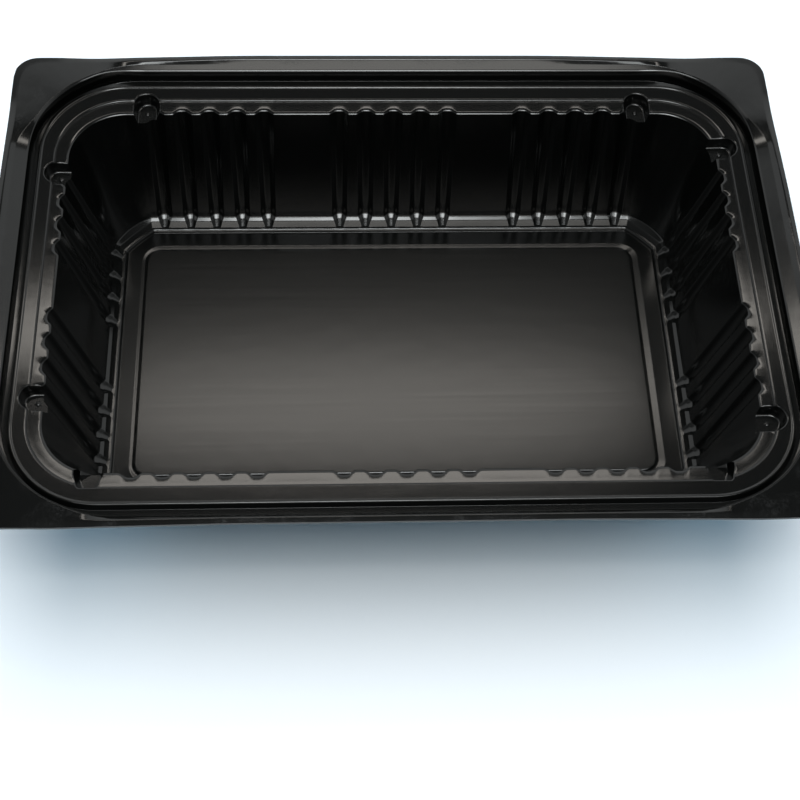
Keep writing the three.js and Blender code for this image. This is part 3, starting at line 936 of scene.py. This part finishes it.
class TrayFinish(bpy.types.PropertyGroup):
    """Colour and gloss of the plastic."""

    colour: FloatVectorProperty(
        name="Colour", description="Colour of the plastic",
        default=(0.0011, 0.0013, 0.0012), min=0.0, max=1.0, size=3, subtype="COLOR",
    )
    worn_colour: FloatVectorProperty(
        name="Worn colour", description="Colour of the rubbed patches",
        default=(0.012, 0.012, 0.012), min=0.0, max=1.0, size=3, subtype="COLOR",
    )
    dust_colour: FloatVectorProperty(
        name="Dust colour", description="Colour of the specks of dust",
        default=(0.2, 0.2, 0.19), min=0.0, max=1.0, size=3, subtype="COLOR",
    )
    rim_roughness: FloatProperty(
        name="Rim roughness", description="Roughness of the flange, groove and shelf",
        default=0.13, min=0.0, max=1.0, subtype="FACTOR",
    )
    wall_roughness: FloatProperty(
        name="Wall roughness", description="Roughness of the walls and their foot",
        default=0.15, min=0.0, max=1.0, subtype="FACTOR",
    )
    floor_roughness: FloatProperty(
        name="Floor roughness", description="Roughness of the base",
        default=0.2, min=0.0, max=1.0, subtype="FACTOR",
    )
    streaks: FloatProperty(
        name="Streaks", description="How much the roughness varies along the sheet's streaks",
        default=0.025, min=0.0, max=1.0, subtype="FACTOR",
    )
    scuffs: FloatProperty(
        name="Scuffs", description="Roughness that rubbed patches have on top",
        default=0.12, min=0.0, max=1.0, subtype="FACTOR",
    )
    unevenness: FloatProperty(
        name="Unevenness", description="Height of the sheet's soft waves",
        default=0.00002, min=0.0, unit="LENGTH", precision=6,
    )


class TrayStudio(bpy.types.PropertyGroup):
    """Lights and floor."""

    back: FloatProperty(
        name="Back light", description="Power of the softbox over the tray's far side",
        default=0.34, min=0.0, unit="POWER",
    )
    front: FloatProperty(
        name="Front light", description="Power of the wide softbox behind the camera",
        default=3.1, min=0.0, unit="POWER",
    )
    front_core: FloatProperty(
        name="Front core", description="Power of the middle of that softbox",
        default=2.3, min=0.0, unit="POWER",
    )
    key: FloatProperty(
        name="Key light", description="Power of the small softbox over the camera",
        default=3.2, min=0.0, unit="POWER",
    )
    key_wings: FloatProperty(
        name="Key wings", description="Power of the wider light beside the key light",
        default=5.5, min=0.0, unit="POWER",
    )
    wash: FloatProperty(
        name="Floor wash", description="Power of the light that whitens the floor",
        default=14.0, min=0.0, unit="POWER",
    )
    sky: FloatProperty(
        name="Room light", description="Strength of the light from all round",
        default=1.0, min=0.0,
    )
    floor_colour: FloatVectorProperty(
        name="Floor", description="Colour of the floor",
        default=(0.85, 0.85, 0.85), min=0.0, max=1.0, size=3, subtype="COLOR",
    )


class FOODTRAY_OT_shell(bpy.types.Operator):
    """Builds the tray's sheet, with its flange, walls, flutes, pockets and base"""

    bl_idname = "foodtray.shell"
    bl_label = "Tray shell"
    bl_options = {"REGISTER", "UNDO"}

    def execute(self, context):
        shell = build_shell(context.scene.foodtray_shape)
        shell.data.materials.append(plastic_material(context.scene.foodtray_finish))
        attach(shell, BODY)
        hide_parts("tray")
        return {"FINISHED"}


class FOODTRAY_OT_pips(bpy.types.Operator):
    """Builds the pips on the far ridge and the nubs in the pockets"""

    bl_idname = "foodtray.pips"
    bl_label = "Rim pips"
    bl_options = {"REGISTER", "UNDO"}

    def execute(self, context):
        pips = build_pips(context.scene.foodtray_shape)
        pips.data.materials.append(bpy.data.materials["black_polypropylene"])
        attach(pips, BODY)
        return {"FINISHED"}


class FOODTRAY_OT_studio(bpy.types.Operator):
    """Builds the floor, the lights and the camera"""

    bl_idname = "foodtray.studio"
    bl_label = "Studio"
    bl_options = {"REGISTER", "UNDO"}

    def execute(self, context):
        scene, studio = context.scene, context.scene.foodtray_studio
        bm = bmesh.new()
        bmesh.ops.create_grid(bm, x_segments=1, y_segments=1, size=FLOOR_SIZE)
        floor = linked_object("studio_floor", bm)
        material = bpy.data.materials.new("pale_floor")
        material.use_nodes = True
        shader = material.node_tree.nodes["Principled BSDF"]
        shader.inputs["Base Color"].default_value = (*studio.floor_colour, 1.0)
        shader.inputs["Roughness"].default_value = FLOOR_ROUGHNESS
        floor.data.materials.append(material)
        for light in LIGHTS:
            add_light(scene, light, getattr(studio, light["power"]))
        scene.world = room_world(studio)
        scene.view_settings.view_transform = "Standard"
        data = bpy.data.cameras.new("photo_camera")
        data.lens, data.sensor_width = CAMERA_LENS, CAMERA_SENSOR
        data.clip_start, data.clip_end = CAMERA_CLIP
        camera = bpy.data.objects.new("photo_camera", data)
        camera.location = CAMERA_PLACE
        camera.rotation_euler = Euler([math.radians(angle) for angle in CAMERA_TURN])
        scene.collection.objects.link(camera)
        scene.camera = camera
        return {"FINISHED"}


class FOODTRAY_PT_panel(bpy.types.Panel):
    """Sizes, finish and studio of the food tray"""

    bl_label = "Food Tray"
    bl_idname = "FOODTRAY_PT_panel"
    bl_space_type = "VIEW_3D"
    bl_region_type = "UI"
    bl_category = "Food Tray"

    def draw(self, context):
        layout = self.layout
        groups = (
            (context.scene.foodtray_shape, (FOODTRAY_OT_shell, FOODTRAY_OT_pips)),
            (context.scene.foodtray_finish, ()),
            (context.scene.foodtray_studio, (FOODTRAY_OT_studio,)),
        )
        for settings, operators in groups:
            box = layout.box()
            for name in settings.__annotations__:
                box.prop(settings, name)
            for operator in operators:
                box.operator(operator.bl_idname)


CLASSES = (
    TrayShape, TrayFinish, TrayStudio,
    FOODTRAY_OT_shell, FOODTRAY_OT_pips, FOODTRAY_OT_studio, FOODTRAY_PT_panel,
)


def register():
    for made in CLASSES:
        bpy.utils.register_class(made)
    bpy.types.Scene.foodtray_shape = PointerProperty(type=TrayShape)
    bpy.types.Scene.foodtray_finish = PointerProperty(type=TrayFinish)
    bpy.types.Scene.foodtray_studio = PointerProperty(type=TrayStudio)


def unregister():
    del bpy.types.Scene.foodtray_studio
    del bpy.types.Scene.foodtray_finish
    del bpy.types.Scene.foodtray_shape
    for made in reversed(CLASSES):
        bpy.utils.unregister_class(made)


def main():
    register()
    bpy.ops.foodtray.shell()
    bpy.ops.foodtray.pips()
    bpy.ops.foodtray.studio()


if __name__ == "__main__":
    main()
